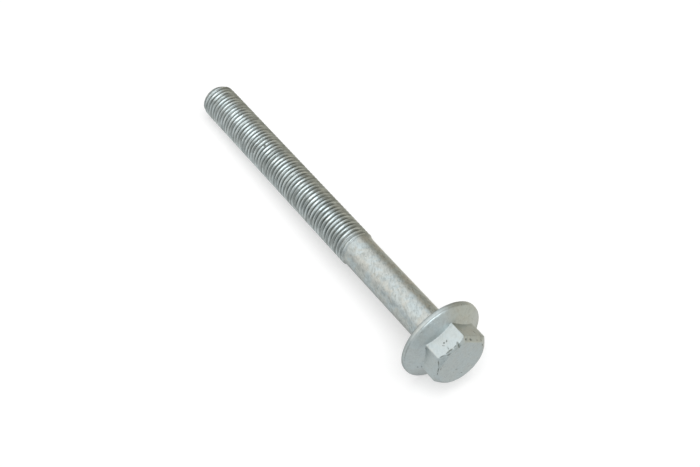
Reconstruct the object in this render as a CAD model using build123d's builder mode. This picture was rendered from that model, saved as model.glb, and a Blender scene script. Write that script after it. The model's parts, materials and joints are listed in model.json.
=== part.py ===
from build123d import *
from math import radians, tan
import os

# Hex flange bolt, M12 x 1.5, standing on its head. It is one piece of plated steel: a
# hexagon head forged together with its conical flange, and a shank that is left at the
# diameter of the rolling blank, a little thinner than the thread that is rolled on it.
# Sizes are in millimetres. The origin is the centre of the bearing face under the flange,
# and +Z runs along the shank to the tip, so the head lies below the origin.

# Lengths from the bearing face and back from the tip
under_head_length = 128.0
thread_length = 86.0

# Shank and thread, whose form is a plain cylinder over the crests
thread_diameter = 12.0
shank_diameter = 11.1
run_out_length = 1.8
neck_radius = 0.7

# Chamfered tip
tip_diameter = 10.2
tip_chamfer_length = 1.9

# Hexagon head and the turned chamfer on its top
across_flats = 17.0
head_height = 10.7
top_circle_diameter = 16.1
chamfer_angle = 35.0

# Flange, a cone that rises from a rounded rim and runs into the hexagon
flange_diameter = 27.4
rim_height = 1.5
rim_radius = 0.8
bearing_edge_radius = 0.3
cone_angle = 29.0
cone_overlap = 1.5

# Places that follow from the sizes
thread_start = under_head_length - thread_length
chamfer_start = under_head_length - tip_chamfer_length
flange_radius = flange_diameter / 2
cone_end_radius = across_flats / 2 - cone_overlap
cone_height = rim_height + (flange_radius - cone_end_radius) * tan(radians(cone_angle))
chamfer_depth = (flange_radius - top_circle_diameter / 2) * tan(radians(chamfer_angle))

with BuildPart() as hex_flange_bolt:
    # The hexagon has two flats square to Y.
    with BuildSketch(Plane.XY):
        RegularPolygon(radius=across_flats / 2, side_count=6, major_radius=False)
    extrude(amount=-head_height)

    # A cone over the top takes off the six corners. It leaves a round top face and an arc
    # on each flat, and it is wide enough to leave the rest of the hexagon whole.
    with BuildSketch(Plane.XZ):
        with BuildLine():
            Polyline(
                (0, 0),
                (flange_radius, 0),
                (flange_radius, chamfer_depth - head_height),
                (top_circle_diameter / 2, -head_height),
                (0, -head_height),
                close=True,
            )
        make_face()
    revolve(axis=Axis.Z, mode=Mode.INTERSECT)

    # Everything round about the axis is one turned profile, from the end of the cone,
    # hidden in the hexagon, out to the rim, along the bearing face and up to the tip.
    with BuildSketch(Plane.XZ) as profile:
        with BuildLine():
            Polyline(
                (0, -cone_height),
                (cone_end_radius, -cone_height),
                (flange_radius, -rim_height),
                (flange_radius, 0),
                (shank_diameter / 2, 0),
                (shank_diameter / 2, thread_start - run_out_length),
                (thread_diameter / 2, thread_start),
                (thread_diameter / 2, chamfer_start),
                (tip_diameter / 2, under_head_length),
                (0, under_head_length),
                close=True,
            )
        make_face()
        # The rim is round above and lightly broken below, at the bearing face.
        fillet(profile.vertices().group_by(Axis.X)[-1].sort_by(Axis.Y)[0], rim_radius)
        fillet(profile.vertices().group_by(Axis.X)[-1].sort_by(Axis.Y)[-1], bearing_edge_radius)
        # The neck blends the shank into the bearing face.
        fillet(profile.vertices().sort_by_distance((shank_diameter / 2, 0))[0], neck_radius)
    revolve(axis=Axis.Z)

hex_flange_bolt.part.label = "hex_flange_bolt"

os.makedirs("parts", exist_ok=True)
export_step(hex_flange_bolt.part, "parts/hex_flange_bolt.step")
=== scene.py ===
# %% [markdown]
# # A hex flange bolt
# The bolt comes packed from the workshop as a fixed frame: one solid, standing on its
# head, with the middle of its bearing face at the origin and its tip at +Z. Here it gets
# its real surface. The thread becomes a helix, the edges of the forged head become round,
# and the zinc plate gets its mottled shine. We load the frame first and keep its box,
# because nothing that is added may be larger than the solid it stands for.

# %% Load the frame
import json
from math import atan2, ceil, cos, degrees, hypot, pi, radians, sin, sqrt, tan

import bpy
import numpy as np
from mathutils import Matrix, Vector

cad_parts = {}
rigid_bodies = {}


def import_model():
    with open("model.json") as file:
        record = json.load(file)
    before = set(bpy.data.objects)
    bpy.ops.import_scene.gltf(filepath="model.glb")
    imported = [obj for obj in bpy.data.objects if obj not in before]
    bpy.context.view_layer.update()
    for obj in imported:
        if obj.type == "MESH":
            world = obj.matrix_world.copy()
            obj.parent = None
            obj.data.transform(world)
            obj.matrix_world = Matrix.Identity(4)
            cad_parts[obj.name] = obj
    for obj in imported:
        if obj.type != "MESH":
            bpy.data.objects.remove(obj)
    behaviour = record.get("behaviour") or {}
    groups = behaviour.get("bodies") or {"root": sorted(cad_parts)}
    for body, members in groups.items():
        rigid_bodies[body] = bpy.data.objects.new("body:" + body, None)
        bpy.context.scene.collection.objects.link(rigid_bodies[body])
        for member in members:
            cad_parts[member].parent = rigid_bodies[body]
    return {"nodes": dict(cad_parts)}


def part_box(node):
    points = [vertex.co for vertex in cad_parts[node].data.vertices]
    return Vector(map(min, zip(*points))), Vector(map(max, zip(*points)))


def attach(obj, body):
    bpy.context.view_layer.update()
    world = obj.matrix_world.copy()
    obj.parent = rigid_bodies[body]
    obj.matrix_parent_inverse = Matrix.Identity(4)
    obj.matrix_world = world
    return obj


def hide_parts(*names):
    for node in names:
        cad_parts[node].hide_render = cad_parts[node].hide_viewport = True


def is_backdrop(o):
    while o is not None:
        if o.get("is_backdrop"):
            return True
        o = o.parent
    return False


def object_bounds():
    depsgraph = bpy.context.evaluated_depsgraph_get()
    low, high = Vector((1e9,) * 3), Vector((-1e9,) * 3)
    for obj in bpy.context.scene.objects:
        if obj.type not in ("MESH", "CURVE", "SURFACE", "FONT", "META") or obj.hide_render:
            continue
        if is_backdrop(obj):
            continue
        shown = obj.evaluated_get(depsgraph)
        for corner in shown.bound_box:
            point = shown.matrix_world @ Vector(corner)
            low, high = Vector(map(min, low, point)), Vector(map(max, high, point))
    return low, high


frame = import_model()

NODE = "hex_flange_bolt"
cad_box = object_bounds()
low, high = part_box(NODE)
print("nodes:", sorted(frame["nodes"]))
print("box in mm:", [round(1000 * side, 1) for side in high - low])

# %% [markdown]
# The lengths of the box are read from the frame. The other sizes are the ones that a
# maker would find on the drawing. Shapes are worked out in millimetres and turned into
# metres only when a point is placed, because a bolt's sizes are easier to read that way.

# %% Sizes in millimetres
MM = 0.001

FLANGE_RADIUS = min(high.x, high.y) / MM
TIP_END = high.z / MM
HEAD_HEIGHT = -low.z / MM

THREAD_LENGTH = 86.0
MAJOR_RADIUS = 6.0
PITCH = 1.5
SHANK_RADIUS = 5.55
TIP_RADIUS = 5.1
TIP_CHAMFER = 1.9

ACROSS_FLATS = 17.0
TOP_CIRCLE_RADIUS = 8.05
CHAMFER_SLOPE = tan(radians(35))
RIM_HEIGHT = 1.5
CONE_SLOPE = tan(radians(29))

THREAD_START = TIP_END - THREAD_LENGTH
print("flange:", round(2 * FLANGE_RADIUS, 2), "mm wide")
print("tip at", round(TIP_END, 2), "mm, top of the head at", round(-HEAD_HEIGHT, 2), "mm")

# %% [markdown]
# Everything on this bolt that is round starts as half an outline, drawn beside the axis.
# By hand one adds a plane, merges it to a single point and extrudes that point from
# corner to corner. Each point keeps its number in an attribute, so that it can still be
# told apart after the outline has been turned into a solid.

# %% Draw an outline
def only(piece):
    """Selects one piece alone and makes it active."""
    bpy.ops.object.select_all(action="DESELECT")
    piece.select_set(True)
    bpy.context.view_layer.objects.active = piece


def draw_outline(name, points):
    """Draws a line through (radius, height) points in the plane of X and Z, in metres."""
    bpy.ops.mesh.primitive_plane_add(size=MM)
    outline = bpy.context.active_object
    outline.name = outline.data.name = name
    only(outline)
    bpy.ops.object.mode_set(mode="EDIT")
    bpy.ops.mesh.select_mode(type="VERT")
    bpy.ops.mesh.select_all(action="SELECT")
    bpy.ops.mesh.merge(type="CENTER")
    bpy.ops.transform.translate(value=(points[0][0] * MM, 0, points[0][1] * MM))
    here = points[0]
    for there in points[1:]:
        step = ((there[0] - here[0]) * MM, 0, (there[1] - here[1]) * MM)
        bpy.ops.mesh.extrude_region_move(TRANSFORM_OT_translate={"value": step})
        here = there
    bpy.ops.object.mode_set(mode="OBJECT")
    rows = outline.data.attributes.new("row", "INT", "POINT")
    rows.data.foreach_set("value", np.arange(len(points), dtype=np.int32))
    print(name, "outline of", len(outline.data.vertices), "points")
    return outline


# %% [markdown]
# The thread is a metric one, with flanks at 60 degrees. Rolling and plating leave both its
# crest and its root as small arcs, and it is these arcs that catch the light. One pitch of
# that outline, from one root to the next, is enough. RUN_OUT is the short cone over which
# the thread will lead down to the shank. The shank's top is just under it, and the first
# root lies one pitch below that, because the thread will be squared off at the shank's top.

# %% One tooth
CREST_ARC = 0.13
ROOT_ARC = 0.1443 * PITCH
ROOT_RADIUS = MAJOR_RADIUS - (PITCH * cos(radians(30)) - CREST_ARC - ROOT_ARC)


def half_tooth():
    """(radius, height above the crest's middle) from the crest down to the root's middle."""
    crest = []
    root = []
    for turn in (0, 30, 60):
        inward, sideways = 1 - cos(radians(turn)), sin(radians(turn))
        crest.append((MAJOR_RADIUS - CREST_ARC * inward, CREST_ARC * sideways))
        root.append((ROOT_RADIUS + ROOT_ARC * inward, PITCH / 2 - ROOT_ARC * sideways))
    return crest + root[::-1]


RUN_OUT = (THREAD_START - 1.5, THREAD_START + 0.1)
SHANK_TOP = RUN_OUT[0] - 0.2

first_root = SHANK_TOP - PITCH
tooth = half_tooth()
lower = [(r, first_root + PITCH / 2 - h) for r, h in reversed(tooth)]
upper = [(r, first_root + PITCH / 2 + h) for r, h in tooth[1:]]
bolt = draw_outline("flange_bolt", lower + upper)
print("tooth from radius", round(ROOT_RADIUS, 2), "to", MAJOR_RADIUS, "mm")

# %% [markdown]
# The Screw modifier turns the tooth round the axis and lifts it by one pitch each turn, to
# the right as on nearly every bolt. The turns only lie side by side at first, so their
# points are merged into one winding surface.

# %% The thread's helix
COLUMNS = 120
MERGE = 0.002 * MM

turns = (TIP_END - first_root) / PITCH
screw = bolt.modifiers.new("helix", "SCREW")
screw.axis = "Z"
screw.angle = 2 * pi
screw.screw_offset = PITCH * MM
screw.iterations = ceil(turns) + 1
screw.steps = screw.render_steps = COLUMNS
bpy.ops.object.modifier_apply(modifier=screw.name)

bpy.ops.object.mode_set(mode="EDIT")
bpy.ops.mesh.select_all(action="SELECT")
bpy.ops.mesh.remove_doubles(threshold=MERGE)
bpy.ops.object.mode_set(mode="OBJECT")
print("helix:", len(bolt.data.vertices), "points,", round(turns, 1), "turns up to the tip")

# %% [markdown]
# The helix has thousands of points, and the next changes move all of them. That is done
# with an array: the places are read into one, changed by sums on whole columns, and put
# back. A smooth rise from 0 to 1 lets a change set in without a crease.

# %% Move many points at once
def places(piece):
    """The piece's points, in millimetres, as an array."""
    co = np.empty(3 * len(piece.data.vertices), np.float32)
    piece.data.vertices.foreach_get("co", co)
    return co.reshape(-1, 3).astype(float) / MM


def put(piece, points):
    """Moves the piece's points to an array of places in millimetres."""
    piece.data.vertices.foreach_set("co", (points * MM).astype(np.float32).ravel())
    piece.data.update()


def smooth(x, start, end):
    """0 before start, 1 after end, and an even rise between."""
    t = np.clip((x - start) / (end - start), 0, 1)
    return t * t * (3 - 2 * t)


print("lowest point of the helix:", round(places(bolt)[:, 2].min(), 2), "mm")

# %% [markdown]
# A rolled thread doesn't stop at once. Towards the shank the dies let go over about three
# turns: the groove grows shallow, and the crest is no longer full, so a fine fold stays in
# its middle. Then a short cone leads down to the shank. At the tip the blank was rounded
# before it was rolled, so there the crests follow a rounded shoulder. Each of these is a
# change of radius that depends on the height.

# %% Run the thread out at both ends
BLANK_RADIUS = 5.5
LAST_TURNS = (THREAD_START - 0.5, THREAD_START + 4.0)
SHALLOW = 0.35
FOLD_DEPTH = 0.13
FOLD_WIDTH = 0.05
TIP_EDGE = 0.3
TIP_FADE = 1.2
TIP_SHOULDER = 2.6
SNAP = 0.02

points = places(bolt)
radius = np.hypot(points[:, 0], points[:, 1])
height = points[:, 2]

# how far each point lies from the middle of its crest, along the bolt
turn_share = (height - first_root) / PITCH - np.arctan2(points[:, 1], points[:, 0]) / (2 * pi)
from_crest = np.abs(turn_share % 1 - 0.5) * PITCH

# how deep the thread is there: shallow and folded at the shank, full, and faint at the tip
full = smooth(height, *LAST_TURNS)
fold = FOLD_DEPTH * (1 - full) * (from_crest < FOLD_WIDTH)
depth = (MAJOR_RADIUS - radius) * (SHALLOW + (1 - SHALLOW) * full) + fold
off_tip = smooth(TIP_END - height, TIP_EDGE, TIP_FADE)
depth = np.minimum(depth, (MAJOR_RADIUS - BLANK_RADIUS) + off_tip * MAJOR_RADIUS)

# what is left inside the tip's shoulder and the cone that leads to the shank
past = np.clip((height - TIP_END + TIP_SHOULDER) / (TIP_SHOULDER - TIP_EDGE), 0, 1)
shoulder = TIP_RADIUS + (MAJOR_RADIUS - TIP_RADIUS) * np.sqrt(1 - past**2)
new_radius = np.minimum(MAJOR_RADIUS - depth, shoulder)
new_radius = SHANK_RADIUS + smooth(height, *RUN_OUT) * (new_radius - SHANK_RADIUS)
new_radius = np.where(height > TIP_END - TIP_EDGE - SNAP, TIP_RADIUS, new_radius)
points[:, :2] *= (new_radius / radius)[:, None]
put(bolt, points)
print("radii from", round(new_radius.min(), 2), "to", round(new_radius.max(), 2), "mm")

# %% [markdown]
# The helix still begins and ends with loose turns. All that lies past an end, or only SNAP
# short of it, is pressed flat onto it and merged, which leaves one clean ring at each end.

# %% Square off the two ends
def press_end(piece, height, beyond):
    """Presses flat and merges all that lies past a height, above it (1) or below it (-1)."""
    for vertex in piece.data.vertices:
        vertex.select = beyond * (vertex.co.z / MM - height) > -SNAP
    bpy.ops.object.mode_set(mode="EDIT")
    bpy.ops.transform.resize(value=(1, 1, 0), center_override=(0, 0, height * MM))
    bpy.ops.mesh.select_all(action="SELECT")
    bpy.ops.mesh.remove_doubles(threshold=MERGE)
    bpy.ops.mesh.select_all(action="DESELECT")
    bpy.ops.object.mode_set(mode="OBJECT")


only(bolt)
bpy.ops.object.mode_set(mode="EDIT")
bpy.ops.mesh.select_all(action="DESELECT")
bpy.ops.object.mode_set(mode="OBJECT")
press_end(bolt, SHANK_TOP, -1)
press_end(bolt, TIP_END - TIP_EDGE, 1)
print("after squaring off:", len(bolt.data.vertices), "points")

# %% [markdown]
# The tip is closed by hand: the open ring is extruded over a small rounded edge, drawn in
# towards the middle in a few rings and merged to a point. The end face is sunk a little,
# as the dies leave it when they squeeze the metal of the thread towards the end.

# %% Close the tip
def pick_ring(piece, height):
    """Selects the ring of points at a height, and enters edit mode."""
    for vertex in piece.data.vertices:
        vertex.select = abs(vertex.co.z - height * MM) < MERGE
    bpy.ops.object.mode_set(mode="EDIT")


def extrude_ring(shrink, rise):
    """Extrudes the selected ring, scales it about the axis and lifts it."""
    bpy.ops.mesh.extrude_region_move(TRANSFORM_OT_translate={"value": (0, 0, rise * MM)})
    bpy.ops.transform.resize(value=(shrink, shrink, 1), center_override=(0, 0, 0))


TIP_DISH = 0.12
DISH_RAMP = 0.4

next_rings = []
for turn in (30, 60, 90):
    inward, below = 1 - cos(radians(turn)), 1 - sin(radians(turn))
    next_rings.append((TIP_RADIUS - TIP_EDGE * inward, TIP_END - TIP_EDGE * below))
for share in (0.9, 0.75, 0.5, 0.25):
    sunk = TIP_DISH * min(1, (1 - share) / DISH_RAMP)
    next_rings.append(((TIP_RADIUS - TIP_EDGE) * share, TIP_END - sunk))

pick_ring(bolt, TIP_END - TIP_EDGE)
ring_radius, ring_height = TIP_RADIUS, TIP_END - TIP_EDGE
for next_radius, next_height in next_rings:
    extrude_ring(next_radius / ring_radius, next_height - ring_height)
    ring_radius, ring_height = next_radius, next_height
bpy.ops.mesh.extrude_region_move()
bpy.ops.mesh.merge(type="CENTER")
bpy.ops.object.mode_set(mode="OBJECT")
print("tip closed at", round(places(bolt)[:, 2].max(), 2), "mm")

# %% [markdown]
# The shank, the flange and the head are one half outline, from the end of the thread down
# to the middle of the head's top. Over the hexagon that outline depends on the direction in
# which we cut the bolt: over a flat it is near the axis, and over a corner it is further
# out. So the first helper says how far out the hexagon is. Its corners are at 0, 60 and
# 120 degrees and so on. They are rounded by forging, and two of them are worn rounder.

# %% The hexagon in any direction
CORNER_ARC = 0.45
WORN_CORNER_ARCS = {0: 0.6, 180: 0.9}
FLAT = ACROSS_FLATS / 2


def hexagon_radius(azimuth):
    """The distance from the axis to the side of the hexagon."""
    corner = round(degrees(azimuth) / 60) * 60 % 360
    arc = WORN_CORNER_ARCS.get(corner, CORNER_ARC)
    from_flat = (azimuth % (pi / 3)) - pi / 6
    if abs(tan(from_flat)) * FLAT <= (FLAT - arc) * tan(pi / 6):
        return FLAT / cos(from_flat)
    from_corner = pi / 6 - abs(from_flat)
    centre = (FLAT - arc) / cos(pi / 6)
    return centre * cos(from_corner) + sqrt(arc**2 - (centre * sin(from_corner)) ** 2)


print("across corners:", round(hexagon_radius(0) + hexagon_radius(pi), 2), "mm")

# %% [markdown]
# The head's top is chamfered, and a head is seldom trimmed quite true. On this one the
# chamfer is deepest at the corner at 0 degrees, it reaches further in over the flat at -90,
# it is a straight bevel over the flat at -30 and it is hardly there over the flat at -150.
# The second helper gives both of its ends in any direction. The bevel's reach is a cosine,
# and past the direction where it begins to fade it moves out a little with every degree.

# %% The uneven chamfer
WIDE_FLAT = -90
BEVEL_FLAT = -30
FAINT_FLAT = -150

WIDER = 0.45
DEEPER = 0.18
FAINTER = 0.35
BEVEL_START = 7.2
BEVEL_REACH = 0.7
BEVEL_FADES_FROM = -10
BEVEL_FADE = 0.04
LEAST_CHAMFER = 0.25


def near_way(azimuth, middle, reach):
    """1 in the direction middle, falling to 0 at reach degrees to both sides of it."""
    off = (degrees(azimuth) - middle + 180) % 360 - 180
    return cos(radians(90 * off / reach)) if abs(off) < reach else 0


def chamfer_at(azimuth, side):
    """The radius where the top face ends, and how deep the chamfer cuts at radius side."""
    faint = FAINTER * near_way(azimuth, FAINT_FLAT, 30)
    top_edge = TOP_CIRCLE_RADIUS - WIDER * near_way(azimuth, WIDE_FLAT, 60) + faint
    cut = (side - TOP_CIRCLE_RADIUS - faint) * CHAMFER_SLOPE
    cut += DEEPER * near_way(azimuth, WIDE_FLAT, 35)
    toward_bevel = cos(azimuth - radians(BEVEL_FLAT))
    if toward_bevel > BEVEL_REACH:
        way = (degrees(azimuth) + 180) % 360 - 180
        fading = BEVEL_FADE * max(0.0, way - BEVEL_FADES_FROM)
        top_edge = min(top_edge, BEVEL_START / toward_bevel + fading)
        cut = max(cut, side * toward_bevel - BEVEL_START - fading)
    return min(top_edge, side - LEAST_CHAMFER), max(cut, LEAST_CHAMFER / 2)


for way in (WIDE_FLAT, BEVEL_FLAT, FAINT_FLAT):
    top_edge, cut = chamfer_at(radians(way), FLAT)
    print("flat at", way, "degrees: top face ends at", round(top_edge, 2), "cut", round(cut, 2), "mm")

# %% [markdown]
# Real edges are never sharp, so every corner of the outline is an arc. This helper takes
# the sharp corners, each with the radius of its arc and with the number of points on it and
# on the straight piece after it, and gives back all the points in order.

# %% A line with rounded corners
def rounded_line(corners):
    """Points along a line of (radius, height, arc, arc steps, steps to the next corner)."""
    line = [corners[0][:2]]
    for before, corner, after in zip(corners, corners[1:], corners[2:]):
        here, arc, steps = Vector(corner[:2]), corner[2], corner[3]
        back = (Vector(before[:2]) - here).normalized()
        on = (Vector(after[:2]) - here).normalized()
        half_turn = (pi - back.angle(on)) / 2
        reach = arc * tan(half_turn)
        start = here + back * reach
        centre = here + (back + on).normalized() * arc / cos(half_turn)
        run_start = Vector(line[-1])
        for i in range(1, before[4] + 1):
            line.append(tuple(run_start.lerp(start, i / before[4])))
        spoke = start - centre
        side = 1 if spoke.x * back.y - spoke.y * back.x > 0 else -1
        for i in range(1, steps + 1):
            turn = -side * 2 * half_turn * i / steps
            x = centre.x + (spoke.x * cos(turn) - spoke.y * sin(turn))
            y = centre.y + (spoke.x * sin(turn) + spoke.y * cos(turn))
            line.append((x, y))
    run_start, end = Vector(line[-1]), Vector(corners[-1][:2])
    steps = corners[-2][4]
    line += [tuple(run_start.lerp(end, i / steps)) for i in range(1, steps + 1)]
    return line


# %% [markdown]
# Now the whole outline for one direction. Where the side of the hexagon meets the cone of
# the flange and the cone of the chamfer, the two curved lines of a real bolt's flats appear
# by themselves, because both meeting points move with the direction.

# %% The outline of shank, flange and head
NECK_ARC = 0.7
BEARING_ARC = 0.3
RIM_ARC = 0.8
BASE_ARC = 0.12
CHAMFER_ARC = 0.2
TOP_ARC = 0.35


def body_outline(azimuth):
    """(radius, height) from the top of the shank down to the middle of the head's top."""
    side = hexagon_radius(azimuth)
    cone_meets = -RIM_HEIGHT - (FLANGE_RADIUS - side) * CONE_SLOPE
    top_edge, chamfer_depth = chamfer_at(azimuth, side)
    return rounded_line(
        [
            (SHANK_RADIUS, SHANK_TOP, 0, 0, 40),
            (SHANK_RADIUS, 0, NECK_ARC, 4, 6),
            (FLANGE_RADIUS, 0, BEARING_ARC, 3, 1),
            (FLANGE_RADIUS, -RIM_HEIGHT, RIM_ARC, 6, 12),
            (side, cone_meets, BASE_ARC, 4, 12),
            (side, -HEAD_HEIGHT + chamfer_depth, CHAMFER_ARC, 3, 4),
            (top_edge, -HEAD_HEIGHT, TOP_ARC, 3, 16),
            (0, -HEAD_HEIGHT, 0, 0, 0),
        ]
    )


body = draw_outline("body", body_outline(0))

# %% [markdown]
# The outline is spun into a blank, as round as a turned one. Then the hexagon is pressed
# out of it: every point goes to the place that the outline has in its own direction. The
# columns of points are drawn together towards the six corners, where the shape bends most.

# %% Spin the blank and press the hexagon
def spin_round(piece):
    """Spins an outline once round the axis and merges the seam and the pole."""
    only(piece)
    bpy.ops.object.mode_set(mode="EDIT")
    bpy.ops.mesh.select_all(action="SELECT")
    bpy.ops.mesh.spin(steps=COLUMNS, angle=2 * pi, center=(0, 0, 0), axis=(0, 0, 1))
    bpy.ops.mesh.select_all(action="SELECT")
    bpy.ops.mesh.remove_doubles(threshold=MERGE)
    bpy.ops.object.mode_set(mode="OBJECT")


GATHER = 0.6
ROUND_ABOVE = -0.05

spin_round(body)
rows = np.empty(len(body.data.vertices), np.int32)
body.data.attributes["row"].data.foreach_get("value", rows)
points = places(body)
columns = {}
for i, (x, y, z) in enumerate(points):
    if hypot(x, y) < MERGE / MM or z > ROUND_ABOVE:
        continue
    column = round(atan2(y, x) * COLUMNS / (2 * pi)) % COLUMNS
    if column not in columns:
        even = 2 * pi * column / COLUMNS
        azimuth = even - GATHER / 6 * sin(6 * even)
        columns[column] = azimuth, body_outline(azimuth)
    azimuth, outline = columns[column]
    r, z = outline[rows[i]]
    points[i] = r * cos(azimuth), r * sin(azimuth), z
put(body, points)
print("body:", len(points), "points in", len(columns), "columns")

# %% [markdown]
# Thread and body have their columns in the same directions, so the two rings where they
# meet fall together. We join the two meshes, merge the ring and let Blender turn all faces
# outwards. The bolt is now one closed skin, which the printed count of open edges proves.

# %% Join the two halves into one skin
import bmesh

GRAMS_PER_CUBIC_MM = 7.85e-3

bpy.ops.object.select_all(action="DESELECT")
body.select_set(True)
bolt.select_set(True)
bpy.context.view_layer.objects.active = bolt
bpy.ops.object.join()
bpy.ops.object.mode_set(mode="EDIT")
bpy.ops.mesh.select_all(action="SELECT")
bpy.ops.mesh.remove_doubles(threshold=MERGE)
bpy.ops.mesh.normals_make_consistent(inside=False)
bpy.ops.object.mode_set(mode="OBJECT")
bpy.ops.object.shade_smooth()

skin = bmesh.new()
skin.from_mesh(bolt.data)
open_edges = sum(not edge.is_manifold for edge in skin.edges)
volume = skin.calc_volume(signed=True) / MM**3
skin.free()
print("open edges:", open_edges)
print("volume:", round(volume), "cubic mm, steel of", round(volume * GRAMS_PER_CUBIC_MM), "g")

# %% [markdown]
# Materials are easier to read as sums than as boxes and wires. This small class wraps one
# output of a node, and a sum or product with it adds the Math node that does the work. All
# other nodes come from one method, which sets a node's options first and then its inputs.

# %% Write shader maths as sums
class Wire:
    """One output of a node, or a bare tree to start from."""

    def __init__(self, tree, output=None):
        self.tree = tree
        self.output = output

    def node(self, kind, options, inputs, output=0):
        """Adds a node: its options first, then the values or wires of its inputs."""
        made = self.tree.nodes.new(kind)
        for name, value in options.items():
            setattr(made, name, value)
        for name, value in inputs.items():
            if isinstance(value, Wire):
                self.tree.links.new(value.output, made.inputs[name])
            else:
                made.inputs[name].default_value = value
        return Wire(self.tree, made.outputs[output] if len(made.outputs) else None)

    def maths(self, operation, *values):
        return self.node("ShaderNodeMath", {"operation": operation}, dict(enumerate(values)))

    def __add__(self, other):
        return self.maths("ADD", self, other)

    __radd__ = __add__

    def __sub__(self, other):
        return self.maths("SUBTRACT", self, other)

    def __rsub__(self, other):
        return self.maths("SUBTRACT", other, self)

    def __mul__(self, other):
        return self.maths("MULTIPLY", self, other)

    __rmul__ = __mul__

    def __abs__(self):
        return self.maths("ABSOLUTE", self)

    def smaller(self, other):
        return self.maths("MINIMUM", self, other)

    def vector(self, operation, other=(0, 0, 0), output=0):
        """Vector maths on this wire and another one, or a constant."""
        options = {"operation": operation}
        other = other if isinstance(other, Wire) else tuple(other)
        return self.node("ShaderNodeVectorMath", options, {0: self, 1: other}, output)

    def length(self):
        return self.vector("LENGTH", output="Value")

    def dot(self, direction):
        return self.vector("DOT_PRODUCT", direction, "Value")

    def rise(self, start, end):
        """0 at start and 1 at end, with an even rise between."""
        options = {"interpolation_type": "SMOOTHSTEP"}
        inputs = {"Value": self, "From Min": start, "From Max": end}
        return self.node("ShaderNodeMapRange", options, inputs)

    def rise_mm(self, start, end):
        """The same for a length, with start and end in millimetres."""
        return self.rise(start * MM, end * MM)

    def even(self, colour):
        """A colour that is the same everywhere, for others to be laid over."""
        made = self.node("ShaderNodeRGB", {}, {})
        made.output.default_value = colour
        return made

    def mix(self, share, other):
        """This colour, with a share from 0 to 1 of the other one."""
        options = {"data_type": "RGBA", "clamp_factor": True}
        return self.node("ShaderNodeMix", options, {0: share, 6: self, 7: other}, 2)


print("shader maths is ready")

# %% [markdown]
# Bright zinc is a thin plate of small crystals, so it is never quite even. Its colour
# drifts between a cool and a warm grey over a few millimetres, it is shinier in some spots
# than in others, and fine streaks run along the bolt where it slid through the barrel. We
# first need soft noise in any size and stretch, always in the bolt's own coordinates.

# %% Clouds and streaks
# the dull grey makes dull patches and also painted shade, the deep grey nicks and painted shade in
# the roots, and the burnished grey the rubbed thread and a painted highlight on its crests
COOL_ZINC = (0.58, 0.64, 0.65, 1)
WARM_ZINC = (0.61, 0.58, 0.51, 1)
DULL_AND_SHADE_ZINC = (0.20, 0.22, 0.21, 1)
DEEP_NICK_AND_SHADE_ZINC = (0.10, 0.11, 0.09, 1)
BURNISHED_AND_HIGHLIGHT_ZINC = (0.80, 0.86, 0.86, 1)


def cloud(place, size, detail=3, distortion=0.0, output=0):
    """Soft noise from 0 to 1 whose patches are about as large as size, in millimetres."""
    inputs = {"Vector": place, "Scale": 1 / (size * MM), "Detail": detail, "Distortion": distortion}
    return place.node("ShaderNodeTexNoise", {}, inputs, output)


def drawn_out(place, **mapping):
    """The place in coordinates that are moved, turned or drawn out by a Mapping node."""
    return place.node("ShaderNodeMapping", {"vector_type": "TEXTURE"}, {"Vector": place, **mapping})


def streak(place, size, stretch, slant, detail=3):
    """Noise drawn out along the bolt, slanted by some degrees."""
    slanted = drawn_out(place, Rotation=(0, radians(slant), 0), Scale=(1, 1, stretch))
    return cloud(slanted, size, detail)


def ring_cloud(place, size, stretch):
    """Noise drawn out round the bolt, along the rings of its thread."""
    return cloud(drawn_out(place, Scale=(stretch, stretch, 1)), size)


def new_material(name):
    """A material with an empty tree, and the wire that a recipe starts from."""
    material = bpy.data.materials.new(name)
    material.use_nodes = True
    material.node_tree.nodes.clear()
    return material, Wire(material.node_tree)


print("cool zinc:", COOL_ZINC[:3], "warm zinc:", WARM_ZINC[:3])

# %% [markdown]
# A bolt that lay in a box with others has nicks: short dark dents where corners hit it,
# and hairlines on the edges. Each one here is a long drop between two places on the
# surface, listed with half its width, in millimetres. Seen in coordinates that lie in the
# nick and are stretched to its size, it is simply where the distance from the middle is
# below one. Noise bends the places a little first, so that no nick has a clean outline.

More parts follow.
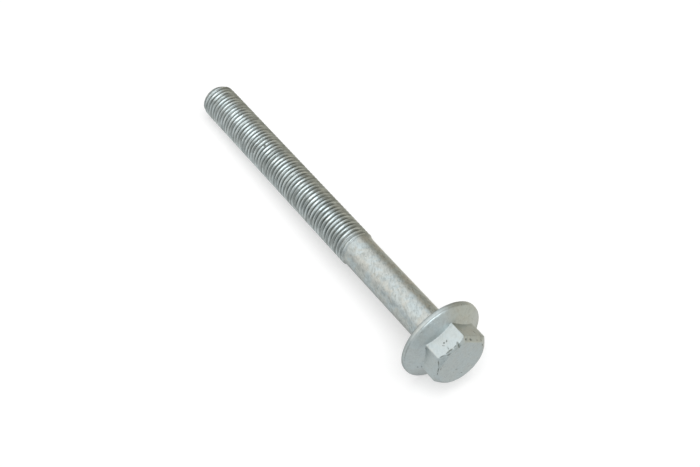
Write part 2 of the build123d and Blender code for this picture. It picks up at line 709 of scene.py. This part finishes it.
# %% Nicks from handling
NICKS = [
    # along the top edge of the flat at -90 degrees, and on the chamfer behind it
    ((-4.7, -8.5, -9.6), (-2.6, -8.5, -10.0), 0.22),
    ((-2.6, -8.5, -10.0), (0.4, -8.5, -10.15), 0.30),
    ((0.4, -8.5, -10.15), (1.8, -8.5, -10.1), 0.24),
    ((-3.4, -8.0, -10.4), (-0.6, -7.6, -10.6), 0.22),
    ((2.2, -8.5, -9.6), (1.8, -7.4, -10.7), 0.55),
    ((2.1, -7.8, -10.6), (3.0, -7.4, -10.7), 0.22),
    # in the middle of that flat
    ((-0.7, -8.5, -6.9), (-0.5, -8.5, -7.1), 0.26),
    ((0.4, -8.5, -6.8), (0.1, -8.5, -7.4), 0.20),
    ((-1.6, -8.5, -7.1), (-0.9, -8.5, -8.1), 0.10),
    ((-0.5, -8.5, -8.6), (-1.1, -8.5, -9.6), 0.10),
    # on the bevel over the flat at -30 degrees, on that flat and past its corner
    ((4.6, -7.6, -10.1), (4.8, -7.1, -10.2), 0.34),
    ((5.6, -5.8, -10.1), (5.9, -5.1, -10.2), 0.38),
    ((7.1, -3.0, -10.2), (7.3, -2.5, -10.3), 0.20),
    ((8.15, -2.9, -7.3), (8.35, -2.5, -8.1), 0.26),
    ((8.3, -1.7, -10.2), (8.1, -0.6, -10.4), 0.24),
    ((7.8, 0.3, -10.6), (7.6, 1.4, -10.7), 0.24),
    # along the top edge of the flat at -150 degrees, and on the top face beside it
    ((-5.0, -8.2, -9.5), (-6.3, -5.9, -10.45), 0.20),
    ((-6.3, -5.9, -10.45), (-7.4, -4.2, -10.5), 0.26),
    ((-7.4, -4.2, -10.5), (-8.0, -3.1, -10.4), 0.18),
    ((-5.6, -6.6, -10.7), (-5.2, -6.5, -10.7), 0.24),
    ((-5.4, -5.5, -10.7), (-4.8, -5.9, -10.7), 0.18),
    ((-6.4, -4.7, -10.7), (-6.0, -5.0, -10.7), 0.20),
    ((-3.1, 0.8, -10.7), (-1.8, 2.7, -10.7), 0.14),
    ((-2.1, 5.0, -10.7), (-1.6, 5.9, -10.7), 0.16),
    # on the cone of the flange
    ((-5.4, -7.7, -4.0), (-5.5, -6.9, -4.4), 0.26),
    ((-10.6, -1.1, -3.2), (-10.4, -0.8, -3.3), 0.24),
    ((-9.6, -0.8, -3.8), (-9.4, -0.4, -3.9), 0.24),
    # on the crests of the thread
    ((1.3, -5.7, 112.1), (1.6, -5.6, 111.3), 0.60),
    ((0.5, -5.8, 93.7), (0.7, -5.8, 92.8), 0.60),
]
RAGGED = 0.5


def nick_mask(place):
    """1 on the nicks and 0 elsewhere."""
    noise = cloud(place, RAGGED, 2, output="Color").vector("SUBTRACT", (0.5, 0.5, 0.5))
    bent = place.vector("ADD", noise.vector("MULTIPLY", (RAGGED * MM, RAGGED * MM, RAGGED * MM)))
    nearest = None
    for start, end, width in NICKS:
        start, end = Vector(start), Vector(end)
        from_middle = drawn_out(
            bent,
            Location=(start + end) / 2 * MM,
            Rotation=(end - start).to_track_quat("X", "Z").to_euler(),
            Scale=Vector(((end - start).length / 2 + width, width, width)) * MM,
        ).length()
        nearest = from_middle if nearest is None else nearest.smaller(from_middle)
    return 1 - nearest.rise(0.4, 1.0)


print("nicks:", len(NICKS))

# %% [markdown]
# Some places differ from the rest, and each gets a mask, which is 1 there and 0 elsewhere.
# On the thread these are its crests, which are rubbed and get a painted highlight, its
# grooves and the roots at their bottom, which get dirt and painted shade, and one side of
# the bolt, which gets painted shade. The grooves count as deeper or shallower than they are
# by some noise, so that the dirt and painted shade in them are uneven. On the head they are
# the upright wall of the rim and the strip of the cone at the base of the flat at -90
# degrees, which the flat shades; both get painted shade. All lengths are in the bolt's own
# coordinates.

# %% Masks for thread and head
# the thread is painted darker on the side that faces this way, as painted shade
SHADED_SIDE = radians(-10)
UNEVEN_DEPTH = 1.0


def thread_masks(place, radius, height, rings):
    """The whole thread, its crests for a painted highlight, its grooves and roots for dirt and
    painted shade, and one side for painted shade.
    """
    thread = height.rise_mm(*RUN_OUT)

    # each sets in over a part of the thread's depth, in millimetres
    uneven_radius = radius + (rings - 0.5) * (UNEVEN_DEPTH * MM)
    crests = radius.rise_mm(MAJOR_RADIUS - 0.26, MAJOR_RADIUS - 0.06)
    grooves = 1 - uneven_radius.rise_mm(MAJOR_RADIUS - 0.55, MAJOR_RADIUS - 0.1)
    roots = 1 - uneven_radius.rise_mm(ROOT_RADIUS, ROOT_RADIUS + 0.4)
    # painted shade on one side of the thread
    shaded_side = place.dot((cos(SHADED_SIDE), sin(SHADED_SIDE), 0)).rise_mm(4.9, 5.9)
    return thread, thread * crests, thread * grooves, thread * roots, thread * shaded_side


def head_masks(place, radius, height):
    """The rim's wall and the strip of cone below the flat at -90 degrees, both for painted shade."""
    shaded_rim_wall = radius.rise_mm(13.2, 13.5) * height.rise_mm(-1.1, -0.5)
    normal = place.node("ShaderNodeTexCoord", {}, {}, "Normal")
    cone_side = normal.dot((0, 0, -1)).rise(0.5, 0.8)
    shaded_foot = cone_side * height.rise_mm(-6, -5) * (1 - radius.rise_mm(8.8, 11.0))
    return shaded_rim_wall, shaded_foot * place.dot((0.1, -1, 0)).rise_mm(7.5, 8.8)


# this is the side of the thread that gets painted shade
print("the dull side of the thread is at", round(degrees(SHADED_SIDE)), "degrees")

# %% [markdown]
# Now the plate itself, as a painter would do it. The ground is cool zinc with warm clouds.
# Over it lie dull patches, streaks and specks, which are strongest on the shank and weak on
# the forged head. The thread is burnished by the dies, and its crests are lighter still,
# part rubbed wear and part painted highlight. Fine scores run round it, with dirt and
# painted shade in its grooves and roots. Painted shade also darkens one side of the thread,
# the rim's wall and the cone below the flat at -90 degrees. The nicks come last. The same
# clouds make the surface wavy through a Bump node, which is what breaks up the edge of a
# reflection.

# %% Zinc plate
SATIN = 0.22
HEAD_SHARE = 0.35
WAVE_HEIGHT = 0.05


def zinc_plate():
    """The bright plate of the whole bolt."""
    material, start = new_material("zinc_plate")
    place = start.node("ShaderNodeTexCoord", {}, {}, "Object")
    radius = place.vector("MULTIPLY", (1, 1, 0)).length()
    height = place.dot((0, 0, 1))

    drift = cloud(place, 3.5, 4, 0.6)
    patches = cloud(place, 1.2, 4, 0.4)
    grain = cloud(place, 0.35, 3)
    streaks = streak(place, 0.6, 3.0, 35)
    specks = streak(place, 0.45, 1.6, 35, 2).rise(0.62, 0.72)
    rings = ring_cloud(place, 0.5, 8.0)
    scores = ring_cloud(place, 0.3, 14.0)
    worn = rings.rise(0.40, 0.62)

    barrel = HEAD_SHARE + (1 - HEAD_SHARE) * height.rise_mm(-1, 2)
    thread, crests, grooves, roots, shaded_side = thread_masks(place, radius, height, rings)
    shaded_rim_wall, shaded_foot = head_masks(place, radius, height)
    nicks = nick_mask(place)

    layers = [
        # all over, and strongest on the shank
        (drift.rise(0.42, 0.58) * barrel * 0.45, WARM_ZINC),
        ((1 - patches.rise(0.3, 0.6)) * barrel * 0.25, DULL_AND_SHADE_ZINC),
        ((1 - streaks.rise(0.32, 0.55)) * barrel * 0.32, DULL_AND_SHADE_ZINC),
        (specks * barrel * 0.45, DULL_AND_SHADE_ZINC),
        # on the thread: burnish all over, and a painted highlight on the crests over rubbed wear
        (thread * 0.5 + crests * worn * 0.35, BURNISHED_AND_HIGHLIGHT_ZINC),
        (thread * (1 - scores.rise(0.40, 0.58)) * (0.55 - worn * 0.25), DULL_AND_SHADE_ZINC),
        # painted shade on one side of the thread, and dirt with painted shade in its grooves and
        # roots
        (shaded_side * 0.6, DULL_AND_SHADE_ZINC),
        (grooves * (0.35 + patches * 0.5), DULL_AND_SHADE_ZINC),
        (roots * (0.15 + patches * 0.4), DEEP_NICK_AND_SHADE_ZINC),
        # on the head: painted shade on the rim's wall and on the cone below the flat at -90 degrees
        (shaded_rim_wall * 0.3 + shaded_foot * 0.45, DULL_AND_SHADE_ZINC),
        # over everything
        (nicks * 0.7, DEEP_NICK_AND_SHADE_ZINC),
    ]
    colour = start.even(COOL_ZINC)
    for share, tint in layers:
        colour = colour.mix(share, tint)

    roughness = SATIN + patches * 0.10 + grain * 0.05 + nicks * 0.2 - thread * worn * 0.06
    relief = patches + streaks * 0.4 * barrel + grain * 0.25
    relief = relief + thread * (rings * 3.0 + scores * 1.2) - nicks * 1.5
    waves = {"Strength": 1.0, "Distance": WAVE_HEIGHT * MM, "Height": relief}
    plate = {
        "Base Color": colour,
        "Metallic": 1.0,
        "Roughness": roughness,
        "Normal": start.node("ShaderNodeBump", {}, waves),
    }
    shader = start.node("ShaderNodeBsdfPrincipled", {}, plate)
    start.node("ShaderNodeOutputMaterial", {}, {"Surface": shader})
    return material


bolt.data.materials.clear()
bolt.data.materials.append(zinc_plate())
print("zinc plate:", len(bolt.data.materials[0].node_tree.nodes), "nodes")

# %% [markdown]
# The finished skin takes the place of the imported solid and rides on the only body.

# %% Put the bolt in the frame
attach(bolt, "root")
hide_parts(NODE)
print("bolt rides on root")

# %% [markdown]
# The bolt is modelled standing on its head, and it is shown lying on a table, where it
# touches the table with its flange and with the end of its thread. So the table is a plane
# through those two points, and the rest of the scene is measured from it: up is away from
# the table, along runs over the table towards the tip, and across runs over it to the left.

# %% Find the table
LYING_SIDE = radians(111.4)

outward = Vector((cos(LYING_SIDE), sin(LYING_SIDE), 0))
axis = Vector((0, 0, 1))
rim_touch = outward * FLANGE_RADIUS - axis * BEARING_ARC
tip_touch = outward * MAJOR_RADIUS + axis * (TIP_END - TIP_CHAMFER)
along = (tip_touch - rim_touch).normalized()
up = -(outward - along * outward.dot(along)).normalized()
across = up.cross(along)
print("the bolt's axis slopes by", round(degrees(along.angle(axis)), 2), "degrees on the table")

# %% [markdown]
# The camera stands in front of the head and looks down on the table at about 50 degrees, as
# one looks at a bolt on a bench. It is turned so that the bolt runs away from it to the
# left. It aims at a point near the bolt's middle, given along and across the table.

# %% Camera
CAMERA_HEIGHT_ANGLE = radians(51.27)
CAMERA_TURN = radians(-34.49)
CAMERA_DISTANCE = 392.4
CAMERA_LENS = 64.14
AIM_ALONG = -9.61
AIM_ACROSS = -2.17

middle = axis * (TIP_END - HEAD_HEIGHT) / 2
aim = middle + along * AIM_ALONG + across * AIM_ACROSS
level = along * cos(CAMERA_TURN) + across * sin(CAMERA_TURN)
forward = level * cos(CAMERA_HEIGHT_ANGLE) - up * sin(CAMERA_HEIGHT_ANGLE)
right = forward.cross(up).normalized()
upright = right.cross(forward)

bpy.ops.object.camera_add()
camera = bpy.context.active_object
camera.name = "camera"
camera.data.lens = CAMERA_LENS
turned = Matrix((right, upright, -forward)).transposed().to_4x4()
camera.matrix_world = Matrix.Translation((aim - forward * CAMERA_DISTANCE) * MM) @ turned
bpy.context.scene.camera = camera
print("camera at", [round(v / MM) for v in camera.location], "mm")

# %% [markdown]
# The table is a large pale sheet. A second sheet lies under the head, for looks at the
# standing bolt from other sides. Each is seen only from its upper face and is clear from
# below. Most of its white is its own, and the rest is light that the bolt can keep off it,
# so that a soft shadow stays. The sheets are there for the eye alone: the bolt doesn't
# show them, because the room that it shows has a table of its own.

# %% Table and floor
SHEET_SIZE = 1200
SHEET_GLOW = 0.55


def pale_sheet_material():
    material, start = new_material("pale_sheet")
    behind = start.node("ShaderNodeNewGeometry", {}, {}, "Backfacing")
    matt = start.node("ShaderNodeBsdfDiffuse", {}, {"Color": (0.5, 0.5, 0.5, 1)})
    bright = start.node("ShaderNodeEmission", {}, {"Color": (1, 1, 1, 1), "Strength": SHEET_GLOW})
    pale = start.node("ShaderNodeAddShader", {}, {0: matt, 1: bright})
    clear = start.node("ShaderNodeBsdfTransparent", {}, {})
    sheet = start.node("ShaderNodeMixShader", {}, {0: behind, 1: pale, 2: clear})
    start.node("ShaderNodeOutputMaterial", {}, {"Surface": sheet})
    return material


def lay_sheet(name, through, normal):
    """Lays a large sheet through a point in millimetres, with its upper face along normal."""
    bpy.ops.mesh.primitive_plane_add(size=SHEET_SIZE * MM)
    sheet = bpy.context.active_object
    sheet.name = sheet.data.name = name
    place = Matrix.Translation(through * MM) @ normal.to_track_quat("Z", "Y").to_matrix().to_4x4()
    sheet.data.transform(place)
    sheet.visible_diffuse = sheet.visible_glossy = False
    sheet.visible_transmission = sheet.visible_shadow = False
    sheet.data.materials.append(pale_material)
    sheet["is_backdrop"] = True


pale_material = pale_sheet_material()
lay_sheet("table", rim_touch, up)
lay_sheet("floor", axis * -HEAD_HEIGHT, axis)
print("table and floor laid,", SHEET_SIZE, "mm wide")

# %% [markdown]
# The shadow needs a lamp of its own. A sun with a wide disc stands for a large soft lamp
# overhead, and gives a soft shadow that stays close to the bolt. Its light falls on the
# sheets alone, because shiny metal would show it as a hard white spot. The floor under the
# standing bolt has a second one.

# %% Overhead light
LAMP_WIDTH = radians(60)
LAMP_STRENGTH = 2.9


def overhead_lamp(name, toward_lamp):
    """A soft sun that shines from a direction on the sheets alone."""
    bpy.ops.object.light_add(type="SUN")
    lamp = bpy.context.active_object
    lamp.name = name
    lamp.data.angle = LAMP_WIDTH
    lamp.data.energy = LAMP_STRENGTH
    lamp.matrix_world = toward_lamp.to_track_quat("Z", "Y").to_matrix().to_4x4()
    lamp.visible_glossy = False


overhead_lamp("table_lamp", up + across * 0.1 - along * 0.25)
overhead_lamp("floor_lamp", axis - up * 0.6)
print("two lamps", round(degrees(LAMP_WIDTH)), "degrees wide")

# %% [markdown]
# A shiny bolt shows what stands around it, so its light is a room and not a lamp. The room
# is painted on the world by direction, with soft round spots: each has the direction of
# its middle, the two nearnesses between which it sets in, its share and its colour. A
# nearness is the cosine of the angle from the middle, so 1 is the middle itself.

# %% Soft spots in a room
def spot(toward, way, start, full):
    """1 near a direction of the room, and 0 away from it."""
    return toward.dot(way.normalized()).rise(start, full)


def paint_spots(room, toward, spots):
    """Lays spots of (direction, start, full, share, colour) over a room's colour."""
    for way, start, full, share, colour in spots:
        room = room.mix(spot(toward, way, start, full) * share, colour)
    return room


# %% [markdown]
# Half of what the bolt shows is the table under it. It is pale and cool, and warmer on the
# right. It is darker straight below and just before the head, where the bolt's own shade
# lies, and lighter again in two patches.

# %% The table that the bolt shows
PALE_TABLE = (0.665, 0.685, 0.685, 1)
WARM_TABLE = (0.71, 0.67, 0.575, 1)

TABLE_SPOTS = [
    # just before the head
    (-along * 0.97 - up * 0.12 - across * 0.05, 0.88, 0.98, 0.55, (0.40, 0.43, 0.42, 1)),
    # straight below, a little to the right and a little towards the tip
    (-up * 0.93 - across * 0.35, 0.93, 0.985, 0.35, (0.30, 0.31, 0.30, 1)),
    (-up * 0.97 + along * 0.22, 0.94, 0.99, 0.5, (0.30, 0.31, 0.30, 1)),
]
WARM_TABLE_SPOTS = [
    # the bolt's own shade, below it and on the right
    (along * 0.25 - up * 0.94, 0.80, 0.97, 0.4, (0.30, 0.30, 0.28, 1)),
    (along * 0.14 - up * 0.83 - across * 0.54, 0.965, 0.998, 0.5, (0.25, 0.25, 0.22, 1)),
    (along * 0.52 - up * 0.78 - across * 0.35, 0.90, 0.99, 0.5, (0.30, 0.30, 0.28, 1)),
    # lighter: low on the left beyond the tip, and low on the right
    (across * 0.75 + along * 0.5 - up * 0.35, 0.86, 0.98, 0.5, (0.82, 0.85, 0.83, 1)),
    (-up * 0.72 - along * 0.12 - across * 0.68, 0.96, 0.995, 0.5, (0.76, 0.75, 0.74, 1)),
]


def table_colour(toward):
    """The table's colour in the room, by direction, without and with its warm side."""
    table = paint_spots(toward.even(PALE_TABLE), toward, TABLE_SPOTS)
    warm = table.mix(toward.dot(-across).rise(0.38, 0.54), WARM_TABLE)
    return table, paint_spots(warm, toward, WARM_TABLE_SPOTS)


print("spots on the table:", len(TABLE_SPOTS) + len(WARM_TABLE_SPOTS))

# %% [markdown]
# Over the table stand the walls, warm and dim on the right. A tall bright strip stands
# before the head, and the thread shows it as bright lines. A large soft ceiling lights all
# that faces up, most of all from over the tip, and it is a little warmer on the left. The
# wall beyond the tip is dark, and so is a patch low on the left.

# %% The room that the bolt shows
WARM_WALL = (0.47, 0.44, 0.37, 1)
STRIP_GLOW = (2.00, 2.12, 2.18, 1)
CEILING_GLOW = (1.15, 1.17, 1.17, 1)
CEILING_LEFT = (1.18, 1.14, 1.08, 1)
CEILING_WAY = Vector((0.03, -0.86, 0.52))
TIP_WALL = (0.25, 0.25, 0.23, 1)
LEFT_PATCH = (across * 0.93 - up * 0.3 - along * 0.2, 0.86, 0.97, 0.5, (0.25, 0.26, 0.25, 1))


def room_colour(toward):
    """The colour of everything round the bolt, by direction."""
    height = toward.dot(up)
    sideways = toward.dot(across)
    lengthways = toward.dot(along)

    table, warm_table = table_colour(toward)
    walls = table.mix(toward.dot(-across).rise(0.35, 0.75), WARM_WALL)
    room = warm_table.mix((height + lengthways * 0.3).rise(-0.32, 0.02), walls)

    strip = 1 - abs(sideways + 0.02).rise(0.18, 0.42)
    strip = strip * height.rise(0.17, 0.30) * (1 - height.rise(0.65, 0.90))
    room = room.mix(strip * (1 - lengthways.rise(-0.4, 0.0)), STRIP_GLOW)

    ceiling = toward.even(CEILING_GLOW).mix(sideways.rise(0.3, 0.7), CEILING_LEFT)
    room = room.mix(spot(toward, CEILING_WAY, 0.45, 0.97), ceiling)
    room = room.mix(lengthways.rise(0.70, 0.92) * 0.6, TIP_WALL)
    return paint_spots(room, toward, [LEFT_PATCH])


print("strip", STRIP_GLOW[:3], "ceiling", CEILING_GLOW[:3])

# %% [markdown]
# The world now gets that room for everything except the camera, which sees plain white
# behind the sheets. The sheets would get too much light from it, so matt surfaces see only
# a tenth of it.

# %% Studio light
MATT_SHARE = 0.1


def studio():
    """The room as the scene's world."""
    world = bpy.data.worlds.new("studio")
    bpy.context.scene.world = world
    world.use_nodes = True
    world.node_tree.nodes.clear()
    start = Wire(world.node_tree)
    room = room_colour(start.node("ShaderNodeTexCoord", {}, {}, "Generated"))
    matt = start.node("ShaderNodeLightPath", {}, {}, "Is Diffuse Ray")
    strength = 1 - matt * (1 - MATT_SHARE)
    light = start.node("ShaderNodeBackground", {}, {"Color": room, "Strength": strength})
    white = start.node("ShaderNodeBackground", {}, {"Color": (1, 1, 1, 1), "Strength": 1.0})
    seen = start.node("ShaderNodeLightPath", {}, {}, "Is Camera Ray")
    both = start.node("ShaderNodeMixShader", {}, {0: seen, 1: light, 2: white})
    start.node("ShaderNodeOutputWorld", {}, {"Surface": both})
    return world


world = studio()
bpy.context.scene.view_settings.view_transform = "Standard"
print("studio light:", len(world.node_tree.nodes), "nodes")

# %% [markdown]
# Last we print the box of the dressed bolt and the box of the solid, side by side.

# %% The two boxes
new_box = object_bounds()
boxes = {"cad": [list(v) for v in cad_box], "visual": [list(v) for v in new_box]}
for kind, box in boxes.items():
    print(kind, "box in mm:", [[round(x / MM, 2) for x in corner] for corner in box])
